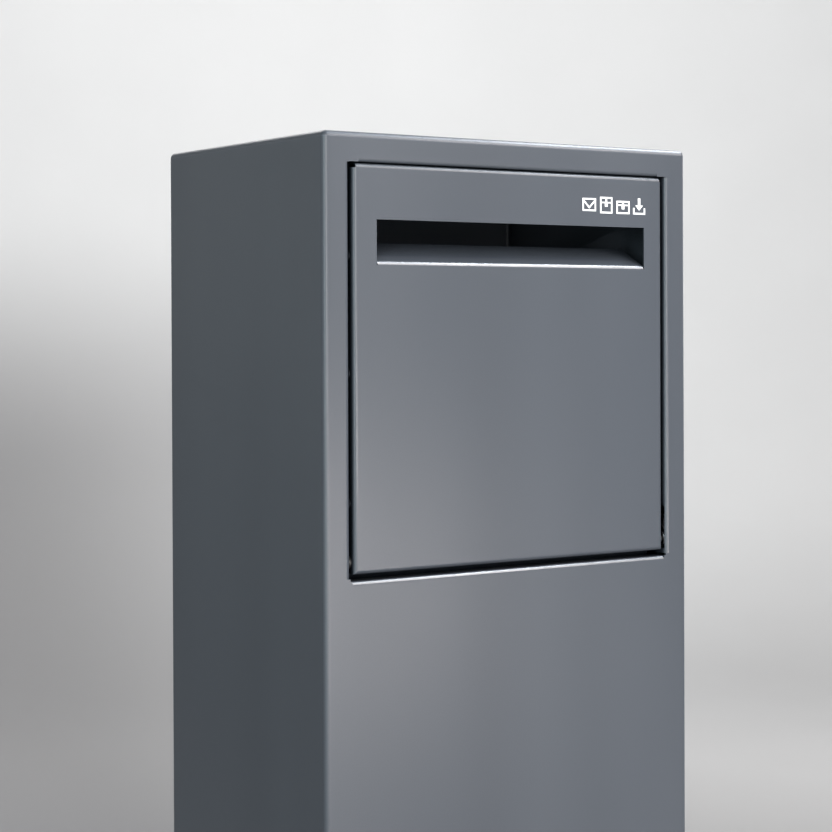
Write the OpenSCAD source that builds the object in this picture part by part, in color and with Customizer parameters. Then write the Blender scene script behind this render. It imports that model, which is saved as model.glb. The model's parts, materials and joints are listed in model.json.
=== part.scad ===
// Free-standing parcel drop box in folded, powder-coated sheet steel.
// A bottom-hinged hopper flap with a letter slot fills the top of the front.
// Parcels slide down a tray behind the flap into a locked compartment,
// which opens through a retrieval door at the back.
//
// Axes: +X to the right of someone facing the flap, -Y towards them, +Z up.
// Origin: centre of the footprint, on the floor.

/* [Body] */
// Width of the body
body_w = 400; // [390:1:430]
// Depth of the body, front face to back face
body_d = 280; // [278:1:300]
// Height of the body
body_h = 1100; // [1080:10:1300]
// Thickness of the body sheet
sheet = 2; // [1.8:0.1:2.2]
// Outside radius of the folds in the body
bend_r = 5; // [4.5:0.5:5.5]

/* [Front opening] */
// Width of the flap opening
open_w = 349; // [346:0.5:350]
// Height of the flap opening
open_h = 354.7; // [353:0.1:356]
// Body left above the flap opening
open_top = 25.4; // [25:0.1:30]
// Depth of the folded rim around the opening
rim_depth = 15; // [13:1:16]
// Outside radius of the folds at the sides and below the opening
rim_r = 4; // [3.5:0.5:4.5]
// Outside radius of the fold above the opening
rim_top_r = 3; // [2.5:0.5:3]

/* [Flap] */
// Gap between the flap and the opening at each side
side_gap = 4; // [3.5:0.1:4.2]
// Gap above the flap
top_gap = 1; // [0.8:0.1:1.5]
// Gap below the flap
bottom_gap = 5.5; // [5.2:0.1:6]
// Sheet of the flap, cheeks, tray and door
flap_sheet = 1.5; // [1.4:0.1:1.6]
// Outside radius of the flap's folds
flap_bend = 4; // [3:0.5:4]
// How far the flap tips forward
swing = 60; // [45:1:62]

/* [Letter slot] */
// Width of the letter slot
slot_w = 296; // [250:1:300]
// Sideways offset of the slot from the flap's centre line
slot_offset = 1; // [-5:0.5:5]
// Height of the slot's lip above the flap's lower edge
slot_height = 261.8; // [240:0.1:264]
// Clear height of the slot at the face
slot_h = 39.1; // [30:0.1:42]
// Slope of the slot's tab above the horizontal
tab_slope = 28.7; // [20:0.1:35]
// Length of the slot's tab
tab_l = 34; // [25:1:38]

/* [Chute] */
// Radius of the cheeks behind the flap
cheek_r = 256; // [245:1:256]
// Radius of the cheeks' upper part
cheek_top_r = 296; // [280:1:300]
// Length of the tray
tray_l = 243; // [225:1:243]
// Slope of the tray below the horizontal, flap closed
tray_slope = 70; // [65:1:72]

/* [Retrieval door] */
// Height of the door
door_h = 587.5; // [560:0.5:588]
// Height of the gap below the door
door_z = 58.5; // [58.5:0.5:60]
// Gap at each side of the door
door_gap = 3; // [3:0.1:3.5]
// Height of the lock above the floor
lock_z = 352; // [300:1:450]

/* [Hidden] */
$fn = 64;

coat = [0.24, 0.27, 0.31];
zinc = [0.72, 0.73, 0.74];
rubber_black = [0.07, 0.07, 0.08];
nylon_black = [0.05, 0.05, 0.05];
cut = 1;                       // how far a cutter runs past what it cuts

// Body planes
front_y = -body_d / 2;
rear_y = body_d / 2;
shell_h = body_h - bend_r;
return_w = 30;                 // width of the folds beside the rear opening
rear_open_w = body_w - 2 * return_w;
open_z1 = body_h - open_top;
open_z0 = open_z1 - open_h;
rim_y = front_y + rim_depth;
rim_top_inset = 9.5;           // plain corner beside the folded top rim
rim_bottom_inset = 2;          // plain corner beside the folded bottom rim
rim_side_gap = 0.4;            // from the top of the folded side rim to the opening's top edge
rim_notch = [7.6, 9, 31];      // room for the hinge: before, below and above the pivot

// Flap
flap_w = open_w - 2 * side_gap;
flap_z0 = open_z0 + bottom_gap;
flap_z1 = open_z1 - top_gap;
flap_h = flap_z1 - flap_z0;
flap_flange = 18;              // depth of the flap's side and bottom folds
pivot_y = front_y + 10;
pivot_z = flap_z0 + 10;
flange_out = flap_w / 2;       // outer face of a side fold
flange_in = flange_out - flap_sheet;
cheek_in = flange_in - flap_sheet;
top_fold_l = 12;
top_fold_chamfer = 6;       // corners cut off the top fold

// Hopper hinge
pin_r = 4;
running_gap = 0.05;            // radial clearance of every turning fit
bush_r = 5.4;
bush_flange_r = 6.8;
bush_flange_t = 2;
hub_r = 8;
hub_x = body_w / 2 - 13;       // inner face of a hinge bracket's hub
pin_head_r = 6.5;
pin_head_t = 5;
spring_wire_r = 1;
spring_coil_r = 6.3;
spring_hook = [22, 16];        // hole in the cheek for the moving leg, as [y, z]
spring_rest = [spring_coil_r, 17];  // hole in the bracket for the fixed leg

// Tray: the lip lies on the flap's bottom fold, then the sheet turns down
tray_start = [8, -10];         // bend centre, measured from the pivot as [y, z]
tray_bend = 3;
tray_end_lip = 9;
tray_side_h = 14;
tray_side_in = cheek_in - flap_sheet;
tray_rivet_s = [30, 120, 210];
flap_rivet_z = [60, 170, 270];
rivet_r = 2;
rivet_gap = 0.05;

// Stops of the hopper
stop_rest = rim_y - pivot_y;   // face of the rim that the pads meet, from the pivot
stop_clear = 0.3;
pad_t = 3;
tab_t = 2;
stop_r = [200, 240];
stop_x = [cheek_in + flap_sheet, 186];
bumper_x = 150;
bumper_z = flap_z1 - 24;

// Door
door_face_y = rear_y - sheet;
door_w = rear_open_w - 2 * door_gap;
door_flange = 12;
door_bend = 3;
door_pivot = [-door_w / 2 + 10, door_face_y - 7];
door_top = door_z + door_h;
bracket_t = 2;
bracket_low_z = door_z - 2.5;
bracket_high_z = door_top + 2;
rear_panel_z = door_top + 4;
jamb_z = [door_z, 625];
jamb_front_y = 116;
jamb_opening_w = 300;
base_t = 3;
base_flange_h = 30;
anchor_x = 140;
anchor_y = 90;
anchor_r = 5.5;
drain_x = 60;
drain_r = 4;

// Lock
lock_x = 136;
plug_r = 6.5;
barrel_r = 9.5;
shank_w = 7;
cam_y = 110.5;
cam_t = 2.5;
cam_l = 32;
cam_w = 16;

// Symbols
symbol_t = 0.2;
symbol_h = 15;
symbol_right = 150.2;
symbol_pitch = 19.9;
symbol_z = body_h - 61.6;

// ---- Helpers ----

// Lays a profile drawn as [depth, height] across the width, centred on x = 0
module across(width) {
    rotate([90, 0, 90]) linear_extrude(width, center = true) children();
}

// Places children at the hopper's pivot axis
module at_pivot() {
    translate([0, pivot_y, pivot_z]) children();
}

// Draws the left-hand copy of something modelled on the right
module left_hand() {
    mirror([1, 0, 0]) children();
}

module rounded_rect(w, d, r) {
    square([w - 2 * r, d], center = true);
    square([w, d - 2 * r], center = true);
    for (x = [-1, 1], y = [-1, 1]) translate([x * (w / 2 - r), y * (d / 2 - r)]) circle(r);
}

// Part of a ring between two angles less than 180 degrees apart
module ring_sector(r, t, a0, a1) {
    reach = 3 * r;
    mid = (a0 + a1) / 2;
    intersection() {
        difference() {
            circle(r);
            circle(r - t);
        }
        polygon([
            [0, 0],
            [reach * cos(a0), reach * sin(a0)],
            [reach * cos(mid), reach * sin(mid)],
            [reach * cos(a1), reach * sin(a1)]
        ]);
    }
}

// Points of an arc, evenly spaced
arc_steps = 14;
function arc(centre, r, a0, a1) =
    [for (i = [0 : arc_steps]) let (a = a0 + (a1 - a0) * i / arc_steps) centre + r * [cos(a), sin(a)]];

// Outline of a sheet that turns round a centre from angle a0 down to a1,
// with straight legs of the given lengths before and after the bend
module bent_strip(centre, r, t, a0, a1, leg_before, leg_after) {
    before = leg_before * [sin(a0), -cos(a0)];
    after = leg_after * [sin(a1), -cos(a1)];
    outer = arc(centre, r, a0, a1);
    inner = arc(centre, r - t, a1, a0);
    polygon(concat(
        leg_before > 0 ? [outer[0] - before] : [],
        outer,
        [outer[arc_steps] + after, inner[0] + after],
        inner,
        leg_before > 0 ? [inner[arc_steps] - before] : []
    ));
}

// Folded strip: outer corner at the origin, one leg along +X, the other along +Y
module fold(leg_x, leg_y, t, r) {
    translate([r, r]) ring_sector(r, t, 180, 270);
    if (leg_x > r) translate([r, 0]) square([leg_x - r, t]);
    if (leg_y > r) translate([0, r]) square([t, leg_y - r]);
}

// Slab whose front edge corners are rounded, front at y = 0, going back to y = d
module round_front(w, d, r) {
    translate([-w / 2 + r, 0]) square([w - 2 * r, d]);
    translate([-w / 2, r]) square([w, d - r]);
    for (x = [-1, 1]) translate([x * (w / 2 - r), r]) circle(r);
}

// Low block with rounded upper edges and corners, of height r
module round_top(w, d, r) {
    across(w - 2 * r) edge_profile(d, r);
    rotate(90) across(d - 2 * r) edge_profile(w, r);
    for (a = [0, 1, 2, 3]) rotate(a * 90) {
        span = a % 2 == 0 ? [w, d] : [d, w];
        translate([span[0] / 2 - r, span[1] / 2 - r]) rotate_extrude(angle = 90) quarter_disc(r);
    }
}

module quarter_disc(r) {
    intersection() {
        circle(r);
        square(r);
    }
}

module edge_profile(span, r) {
    translate([-span / 2 + r, 0]) square([span - 2 * r, r]);
    for (side = [0, 1]) mirror([side, 0]) translate([span / 2 - r, 0]) quarter_disc(r);
}

// Blind rivet along +X: domed head below x = 0, shank, set tail above x = grip
module rivet(grip, head_t = 1.2, tail_t = 2) {
    rotate([0, 90, 0]) rotate_extrude() polygon([
        [0, -head_t], [rivet_r + 1.2, -head_t], [rivet_r + 2, -head_t / 2], [rivet_r + 2, 0],
        [rivet_r, 0], [rivet_r, grip], [rivet_r + 1, grip], [rivet_r + 1, grip + tail_t], [0, grip + tail_t]
    ]);
}

// Thin cylinder along X from x0 to x1
module x_bar(x0, x1, r) {
    translate([x0, 0, 0]) rotate([0, 90, 0]) cylinder(h = x1 - x0, r = r);
}

// ---- Body ----

module wrap_outline() {
    difference() {
        rounded_rect(body_w, body_d, bend_r);
        rounded_rect(body_w - 2 * sheet, body_d - 2 * sheet, bend_r - sheet);
        translate([-body_w, rear_y - bend_r]) square([2 * body_w, bend_r + cut]);
    }
}

// Front and sides folded from one sheet, with a folded rim round the flap opening
module body_shell() {
    top_fold_w = open_w - 2 * rim_top_inset;
    bottom_fold_w = open_w - 2 * rim_bottom_inset;
    side_z0 = open_z0 + rim_bottom_inset;
    side_z1 = open_z1 - rim_side_gap;
    color(coat) {
        difference() {
            linear_extrude(shell_h) wrap_outline();
            translate([-open_w / 2, front_y - cut, open_z0]) cube([open_w, sheet + 2 * cut, open_h]);
            translate([-top_fold_w / 2, front_y - cut, open_z1 - cut])
                cube([top_fold_w, sheet + 2 * cut, rim_top_r + cut]);
            translate([-bottom_fold_w / 2, front_y - cut, open_z0 - rim_r])
                cube([bottom_fold_w, sheet + 2 * cut, rim_r + cut]);
            translate([-open_w / 2 - rim_r, front_y - cut, side_z0])
                cube([open_w + 2 * rim_r, sheet + 2 * cut, side_z1 - side_z0]);
        }
        translate([0, front_y, open_z1]) across(top_fold_w) fold(rim_depth, rim_top_r, sheet, rim_top_r);
        translate([0, front_y, open_z0]) mirror([0, 0, 1])
            across(bottom_fold_w) fold(rim_depth, rim_r, sheet, rim_r);
        for (side = [0, 1]) mirror([side, 0, 0]) difference() {
            translate([open_w / 2, front_y, side_z0])
                linear_extrude(side_z1 - side_z0) mirror([1, -1]) fold(rim_depth, rim_r, sheet, rim_r);
            translate([open_w / 2 - cut, pivot_y - rim_notch[0], pivot_z - rim_notch[1]])
                cube([sheet + rim_r, rim_depth, rim_notch[1] + rim_notch[2]]);
        }
    }
}

// Folded strip welded to the rear edge of a side, on the +X side
module rear_post() {
    color(coat) translate([body_w / 2, rear_y, 0])
        linear_extrude(shell_h) rotate(180) fold(return_w, bend_r, sheet, bend_r);
}

module rear_post_left() {
    left_hand() rear_post();
}

module rear_post_right() {
    rear_post();
}

module roof_panel() {
    color(coat) translate([0, 0, shell_h]) difference() {
        round_top(body_w, body_d, bend_r);
        round_top(body_w - 2 * sheet, body_d - 2 * sheet, bend_r - sheet);
    }
}

// Floor pan with upturned edges and the anchor holes
module base_plate() {
    inner_w = body_w - 2 * sheet;
    inner_d = body_d - 2 * sheet;
    corner = 6;
    color(coat) {
        difference() {
            linear_extrude(base_t) rounded_rect(inner_w, inner_d, bend_r - 1);
            for (x = [-1, 1], y = [-1, 1])
                translate([x * anchor_x, y * anchor_y, -cut]) cylinder(h = base_t + 2 * cut, r = anchor_r);
            for (x = [-1, 1]) translate([x * drain_x, 0, -cut]) cylinder(h = base_t + 2 * cut, r = drain_r);
        }
        for (x = [-1, 1]) translate([x * (inner_w - sheet) / 2 - sheet / 2, -inner_d / 2 + corner, base_t])
            cube([sheet, inner_d - 2 * corner, base_flange_h - base_t]);
        translate([-inner_w / 2 + corner, -inner_d / 2, base_t])
            cube([inner_w - 2 * corner, sheet, base_flange_h - base_t]);
        translate([-inner_w / 2 + corner, inner_d / 2 - sheet, base_t])
            cube([inner_w - 2 * corner, sheet, bracket_low_z - base_t]);
    }
}

// Fixed upper back, welded inside the folds of the body
module rear_panel() {
    w = body_w - 2 * sheet - 8;
    color(coat) {
        translate([-w / 2, door_face_y - sheet, rear_panel_z]) cube([w, sheet, shell_h - rear_panel_z]);
    }
}

module floor_mat() {
    mat = [384, 244, 4];
    color(rubber_black) difference() {
        translate([-mat[0] / 2, -132, base_t]) cube(mat);
        for (x = [-1, 1], y = [-1, 1])
            translate([x * anchor_x, y * anchor_y, base_t - cut]) cylinder(h = mat[2] + 2 * cut, r = 16);
        for (x = [-1, 1]) translate([x * drain_x, 0, base_t - cut])
            cylinder(h = mat[2] + 2 * cut, r = drain_r + 2);
    }
}

// Folded strip that the door closes against, on the +X side
module jamb() {
    leg_in = jamb_opening_w / 2;
    web_x = rear_open_w / 2 + 2;
    color(coat) translate([0, 0, jamb_z[0]]) linear_extrude(jamb_z[1] - jamb_z[0]) {
        translate([leg_in, jamb_front_y]) square([web_x + flap_sheet - leg_in, flap_sheet]);
        translate([web_x, jamb_front_y + flap_sheet])
            square([flap_sheet, door_face_y - jamb_front_y - flap_sheet]);
        translate([web_x + flap_sheet, door_face_y - flap_sheet])
            square([body_w / 2 - 6 - web_x - flap_sheet, flap_sheet]);
    }
}

module door_jamb_hinge_side() {
    left_hand() jamb();
}

module door_jamb_lock_side() {
    jamb();
}

module door_buffers() {
    base_y = jamb_front_y + flap_sheet;
    tip_y = door_face_y - door_flange - stop_clear;
    color(rubber_black) for (z = [160, 540]) translate([165, base_y, z])
        rotate([-90, 0, 0]) cylinder(h = tip_y - base_y, r1 = 5, r2 = 4);
}

// Angle that carries a door pivot; the plate is drawn at z = 0, the leg goes up
module door_bracket() {
    plate = [40, 12, bracket_t];
    leg_h = 30;
    color(zinc) {
        difference() {
            translate([door_pivot[0] - plate[0] / 2, door_face_y - sheet - plate[1], 0]) cube(plate);
            translate([door_pivot[0], door_pivot[1], -cut])
                cylinder(h = plate[2] + 2 * cut, r = pin_r + running_gap);
        }
        translate([door_pivot[0] - plate[0] / 2, door_face_y - 2 * sheet, plate[2]])
            cube([plate[0], sheet, leg_h - plate[2]]);
    }
}

module door_bracket_upper() {
    translate([0, 0, bracket_high_z]) door_bracket();
}

module door_bracket_lower() {
    translate([0, 0, bracket_low_z]) mirror([0, 0, 1]) door_bracket();
}

module door_pivot_washer() {
    color(nylon_black) translate([door_pivot[0], door_pivot[1], bracket_low_z]) difference() {
        cylinder(h = 2, r = 7);
        translate([0, 0, -cut]) cylinder(h = 2 + 2 * cut, r = pin_r + 0.3);
    }
}

// ---- Hopper hinge, fixed side ----

module hinge_bracket() {
    wall_x = body_w / 2 - sheet;
    plate_t = 3;
    plate_h = 40;
    color(zinc) at_pivot() difference() {
        union() {
            translate([wall_x - plate_t, front_y + bend_r - pivot_y, -plate_h / 2])
                cube([plate_t, 32, plate_h]);
            x_bar(hub_x, wall_x - plate_t, hub_r - 0.4);
        }
        x_bar(hub_x - cut, wall_x + cut, pin_r + running_gap);
        translate([0, spring_rest[0], spring_rest[1]]) x_bar(hub_x, wall_x + cut, spring_wire_r + 0.2);
    }
}

module hinge_bracket_left() {
    left_hand() hinge_bracket();
}

module hinge_bracket_right() {
    hinge_bracket();
}

// Shoulder screw that the hopper turns on, with a hex socket head
module hinge_pin() {
    head_x = cheek_in - bush_flange_t - 0.5;
    color(zinc) at_pivot() difference() {
        union() {
            x_bar(head_x - pin_head_t, head_x, pin_head_r);
            x_bar(head_x, body_w / 2 - sheet, pin_r);
        }
        translate([head_x - pin_head_t - cut, 0, 0])
            rotate([0, 90, 0]) cylinder(h = 3 + cut, r = 3.4, $fn = 6);
    }
}

module hinge_pin_left() {
    left_hand() hinge_pin();
}

module hinge_pin_right() {
    hinge_pin();
}

// Points of the spring wire: fixed leg, coil round the pin, leg hooked in the cheek.
// The coil ends where its tangent runs straight to the hook's hole.
spring_x0 = hub_x - 1.2;
spring_pitch = 2.15;
spring_steps = 94;
spring_hook_a = atan2(spring_hook[1], spring_hook[0]);
spring_turn = 5 * 360 - spring_hook_a - acos(spring_coil_r / norm(spring_hook));
spring_elbow = 1.5;
function coil_point(i) =
    let (a = spring_turn * i / spring_steps)
    [spring_x0 - spring_pitch * a / 360, spring_coil_r * cos(-a), spring_coil_r * sin(-a)];
coil_end = coil_point(spring_steps);
function spring_path() = concat(
    [
        [body_w / 2 - sheet - 1, spring_rest[0], spring_rest[1]],
        [spring_x0 + spring_elbow, spring_rest[0], spring_rest[1]],
        [spring_x0 + 0.3, spring_rest[0], spring_rest[1] - 0.3],
        [spring_x0, spring_rest[0], spring_rest[1] - spring_elbow]
    ],
    [for (i = [0 : spring_steps]) coil_point(i)],
    [
        [coil_end[0], spring_hook[0] - spring_elbow * cos(22), spring_hook[1] - spring_elbow * sin(22)],
        [coil_end[0] - 0.3, spring_hook[0] - 0.3, spring_hook[1] - 0.15],
        [coil_end[0] - spring_elbow, spring_hook[0], spring_hook[1]],
        [cheek_in - 2, spring_hook[0], spring_hook[1]]
    ]
);

function unit(v) = v / norm(v);
function tangent(p, i) = unit(p[min(i + 1, len(p) - 1)] - p[max(i - 1, 0)]);
function side_axis(t) = unit(cross(t, abs(t[0]) > 0.8 ? [0, 0, 1] : [1, 0, 0]));

// Round wire along a path
module wire(p, r, sides = 8) {
    rings = [for (i = [0 : len(p) - 1])
        let (t = tangent(p, i), u = side_axis(t), v = cross(t, u))
        for (k = [0 : sides - 1]) p[i] + r * (cos(360 * k / sides) * u + sin(360 * k / sides) * v)];
    walls = [for (i = [0 : len(p) - 2], k = [0 : sides - 1])
        [i * sides + k, (i + 1) * sides + k, (i + 1) * sides + (k + 1) % sides, i * sides + (k + 1) % sides]];
    first_cap = [for (k = [0 : sides - 1]) k];
    last_cap = [for (k = [sides - 1 : -1 : 0]) (len(p) - 1) * sides + k];
    polyhedron(rings, concat(walls, [first_cap, last_cap]), convexity = 6);
}

module return_spring_right() {
    color(zinc) at_pivot() wire(spring_path(), spring_wire_r);
}

module return_spring_left() {
    left_hand() return_spring_right();
}

// ---- Closed stop ----

module bumper_bracket() {
    foot_y = front_y + bend_r;
    leg_y = front_y + rim_depth + 1;
    w = 30;
    color(coat) {
        translate([bumper_x - w / 2, foot_y, open_z1 + sheet]) cube([w, leg_y + sheet - foot_y, sheet]);
        translate([bumper_x - w / 2, leg_y, bumper_z - 12]) cube([w, sheet, open_z1 + sheet - bumper_z + 12]);
    }
}

module bumper_bracket_left() {
    left_hand() bumper_bracket();
}

module bumper_bracket_right() {
    bumper_bracket();
}

module flap_bumpers() {
    leg_y = front_y + rim_depth + 1;
    tip_y = front_y + flap_sheet + stop_clear;
    color(rubber_black) for (x = [-1, 1]) translate([x * bumper_x, leg_y, bumper_z])
        rotate([90, 0, 0]) cylinder(h = leg_y - tip_y, r1 = 7, r2 = 4.5);
}

// ---- Baffle above the open tray ----

baffle_w = 300;
baffle_z = 702;
baffle_rivet_x = [-120, -40, 40, 120];
baffle_leg_h = 22;

module chute_baffle() {
    back_y = door_face_y - sheet;
    color(coat) translate([0, back_y, baffle_z]) difference() {
        across(baffle_w) mirror([1, 0]) fold(24, baffle_leg_h, flap_sheet, 3);
        for (x = baffle_rivet_x) translate([x, cut, baffle_leg_h - 8])
            rotate([90, 0, 0]) cylinder(h = flap_sheet + 2 * cut, r = rivet_r + rivet_gap);
    }
}

module baffle_rivets() {
    back_y = door_face_y - sheet;
    color(zinc) for (x = baffle_rivet_x) translate([x, back_y - flap_sheet, baffle_z + baffle_leg_h - 8])
        rotate([0, 0, 90]) rivet(flap_sheet, 1.2, 0);
}

// ---- Hopper ----

module flap_outline_solid(w, d, h, r) {
    intersection() {
        linear_extrude(h) round_front(w, d, r);
        across(w) {
            translate([r, 0]) square([d - r, h]);
            translate([0, r]) square([d, h - r]);
            translate([r, r]) circle(r);
        }
    }
}

// Front of the hopper: a folded pan with the slot and its bent-in tab
module flap_panel() {
    pan_h = flap_h - flap_bend;
    inner_r = flap_bend - flap_sheet;
    slot_bend = 4.5;
    tab_w = slot_w - 1.6;
    fold_w = flap_w - 6;
    color(coat) translate([0, front_y, flap_z0]) {
        difference() {
            flap_outline_solid(flap_w, flap_flange, pan_h, flap_bend);
            translate([0, flap_sheet, flap_sheet])
                flap_outline_solid(flap_w - 2 * flap_sheet, flap_flange, pan_h, inner_r);
            translate([slot_offset - slot_w / 2, -cut, slot_height]) cube([slot_w, flap_flange, slot_h]);
            for (side = [-1, 1]) translate([side * (flap_w / 2 - flap_sheet / 2) - 2, pivot_y - front_y, 10])
                x_bar(0, 4, bush_r + rivet_gap);
            for (side = [-1, 1], z = flap_rivet_z)
                translate([side * (flap_w / 2 - flap_sheet / 2) - 2, pivot_y - front_y, z])
                    x_bar(0, 4, rivet_r + rivet_gap);
        }
        // fold along the top, its rear corners cut off
        intersection() {
            translate([0, flap_bend, pan_h]) across(fold_w)
                bent_strip([0, 0], flap_bend, flap_sheet, 180, 90, 0, top_fold_l);
            translate([0, 0, pan_h]) linear_extrude(flap_bend + cut) polygon([
                [-fold_w / 2, -cut], [fold_w / 2, -cut], [fold_w / 2, flap_bend],
                [fold_w / 2 - top_fold_chamfer, flap_bend + top_fold_chamfer],
                [fold_w / 2 - top_fold_chamfer, flap_bend + top_fold_l + cut],
                [-fold_w / 2 + top_fold_chamfer, flap_bend + top_fold_l + cut],
                [-fold_w / 2 + top_fold_chamfer, flap_bend + top_fold_chamfer],
                [-fold_w / 2, flap_bend]
            ]);
        }
        // tab bent in below the slot
        translate([slot_offset, slot_bend, slot_height]) across(tab_w)
            bent_strip([0, 0], slot_bend, flap_sheet, 180, 90 + tab_slope, 0, tab_l);
    }
}

// Point beside the tray: s down its slope from the bend, up above its upper face
function tray_point(s, up) =
    let (n = 90 - tray_slope)
    tray_start + (tray_bend + up) * [cos(n), sin(n)] + s * [cos(-tray_slope), sin(-tray_slope)];

module cheek_outline() {
    far = 500;
    face_y = front_y + flap_bend - pivot_y;
    floor_z = flap_z0 + flap_sheet - pivot_z;
    low = tray_point(0, -flap_sheet);
    low_far = tray_point(far, -flap_sheet);
    lip_z = floor_z + flap_sheet;
    difference() {
        union() {
            intersection() {
                circle(cheek_r, $fn = 180);
                polygon([
                    [face_y, lip_z], [tray_start[0], lip_z], low, low_far,
                    [far, -far], [far, far], [face_y, far]
                ]);
            }
            intersection() {
                circle(cheek_top_r, $fn = 180);
                rotate(-swing) polygon([[-far, 0], [stop_rest, 0], [stop_rest, far], [-far, far]]);
                translate([face_y, 0]) square([far, far]);
            }
        }
        circle(bush_r + rivet_gap);
        for (z = flap_rivet_z) translate([0, z - 10]) circle(rivet_r + rivet_gap);
        for (s = tray_rivet_s) translate(tray_point(s, tray_side_h / 2)) circle(rivet_r + rivet_gap);
        translate(spring_hook) circle(spring_wire_r + 0.4);
    }
}

// Side wall of the hopper, with a tab bent out that stops the swing
module cheek() {
    color(coat) at_pivot() {
        translate([cheek_in, 0, 0]) rotate([90, 0, 90]) linear_extrude(flap_sheet) cheek_outline();
        rotate([-swing, 0, 0])
            translate([stop_x[0], stop_rest + stop_clear + pad_t, stop_r[0]])
                cube([stop_x[1] - stop_x[0], tab_t, stop_r[1] - stop_r[0]]);
    }
}

module cheek_left() {
    left_hand() cheek();
}

module cheek_right() {
    cheek();
}

module stop_pads() {
    color(rubber_black) for (side = [0, 1]) mirror([side, 0, 0]) at_pivot() rotate([-swing, 0, 0])
        translate([stop_x[0] + 1, stop_rest + stop_clear, stop_r[0] + 3])
            cube([stop_x[1] - stop_x[0] - 2, pad_t, stop_r[1] - stop_r[0] - 6]);
}

// Sloping floor of the hopper, with sides folded up against the cheeks
module chute_tray() {
    lip_l = 14;
    side_s = [14, tray_l - 6];
    color(coat) at_pivot() {
        across(2 * cheek_in) {
            bent_strip(tray_start, tray_bend, flap_sheet, 90, 90 - tray_slope, lip_l, tray_l);
            polygon([
                tray_point(tray_l - flap_sheet, -flap_sheet / 2), tray_point(tray_l, -flap_sheet / 2),
                tray_point(tray_l, -tray_end_lip), tray_point(tray_l - flap_sheet, -tray_end_lip)
            ]);
        }
        for (side = [0, 1]) mirror([side, 0, 0]) translate([tray_side_in, 0, 0])
            rotate([90, 0, 90]) linear_extrude(flap_sheet) difference() {
                polygon([
                    tray_point(side_s[0], -flap_sheet / 2), tray_point(side_s[1], -flap_sheet / 2),
                    tray_point(side_s[1], tray_side_h), tray_point(side_s[0], tray_side_h)
                ]);
                for (s = tray_rivet_s) translate(tray_point(s, tray_side_h / 2)) circle(rivet_r + rivet_gap);
            }
    }
}

module hinge_bush() {
    sleeve_end = flange_out + 2.5;
    color(nylon_black) at_pivot() difference() {
        union() {
            x_bar(cheek_in - bush_flange_t, cheek_in, bush_flange_r);
            x_bar(cheek_in, sleeve_end, bush_r);
        }
        x_bar(cheek_in - bush_flange_t - cut, sleeve_end + cut, pin_r + running_gap);
    }
}

module hinge_bush_left() {
    left_hand() hinge_bush();
}

module hinge_bush_right() {
    hinge_bush();
}

module cheek_rivets() {
    color(zinc) for (side = [0, 1], z = flap_rivet_z) mirror([side, 0, 0])
        translate([flange_out, pivot_y, flap_z0 + z]) mirror([1, 0, 0]) rivet(2 * flap_sheet, 1);
}

module tray_rivets() {
    color(zinc) at_pivot() for (side = [0, 1], s = tray_rivet_s) mirror([side, 0, 0]) {
        p = tray_point(s, tray_side_h / 2);
        translate([tray_side_in, p[0], p[1]]) rivet(2 * flap_sheet);
    }
}

// ---- White symbols on the flap: parcels and an arrow into a slot ----

module parcel_icon(w, h) {
    line = 1.5;
    difference() {
        square([w, h]);
        translate([line, line]) square([w - 2 * line, h * 0.62 - line]);
        translate([line, h * 0.62 + line * 0.8]) square([w - 2 * line, h * 0.38 - line * 1.8]);
    }
    translate([w / 2 - 1, h * 0.62]) square([2, h * 0.38]);
    translate([w / 2 - 1.6, h * 0.62 - 3.2]) square([3.2, 3.3]);
}

module arrow_icon(w, h) {
    translate([w / 2 - 1.4, h * 0.52]) square([2.8, h * 0.48]);
    polygon([[w / 2 - 4.6, h * 0.56], [w / 2 + 4.6, h * 0.56], [w / 2, h * 0.24]]);
    square([w, 1.6]);
    square([1.6, h * 0.4]);
    translate([w - 1.6, 0]) square([1.6, h * 0.4]);
}

module envelope_icon(w, h) {
    line = 1.4;
    difference() {
        square([w, h]);
        translate([line, line]) square([w - 2 * line, h - 2 * line]);
    }
    polygon([[0, h], [w / 2, h * 0.36], [w, h], [w, h - 2], [w / 2, h * 0.36 - 2], [0, h - 2]]);
}

module parcel_symbols() {
    start = symbol_right - 3 * symbol_pitch - 14.4;
    color("white") translate([start, front_y, symbol_z]) rotate([90, 0, 0]) linear_extrude(symbol_t) {
        translate([0, 1.6]) envelope_icon(15.6, symbol_h - 3.2);
        translate([symbol_pitch + 0.6, 0]) parcel_icon(14.4, symbol_h);
        translate([2 * symbol_pitch, 0]) parcel_icon(15.6, symbol_h - 3);
        translate([3 * symbol_pitch, 0]) arrow_icon(14.4, symbol_h);
    }
}

// ---- Retrieval door ----

module door_block(w, h, front, back, r) {
    intersection() {
        linear_extrude(h) translate([0, back]) mirror([0, 1]) round_front(w, back - front, r);
        across(w) translate([back, h / 2]) rotate(90) round_front(h, back - front, r);
    }
}

// Door pan, its folds towards the inside of the box
module door_panel() {
    back = door_face_y;
    front = back - door_flange;
    color(coat) difference() {
        translate([0, 0, door_z]) door_block(door_w, door_h, front, back, door_bend);
        translate([0, 0, door_z + flap_sheet])
            door_block(door_w - 2 * flap_sheet, door_h - 2 * flap_sheet, front - cut, back - flap_sheet,
                door_bend - flap_sheet);
        translate([lock_x, back - 5, lock_z]) rotate([-90, 0, 0]) cylinder(h = 10, r = barrel_r + 0.1);
        for (z = [door_z, door_top]) translate([door_pivot[0], door_pivot[1], z - 4])
            cylinder(h = 8, r = pin_r + rivet_gap);
    }
}

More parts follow.
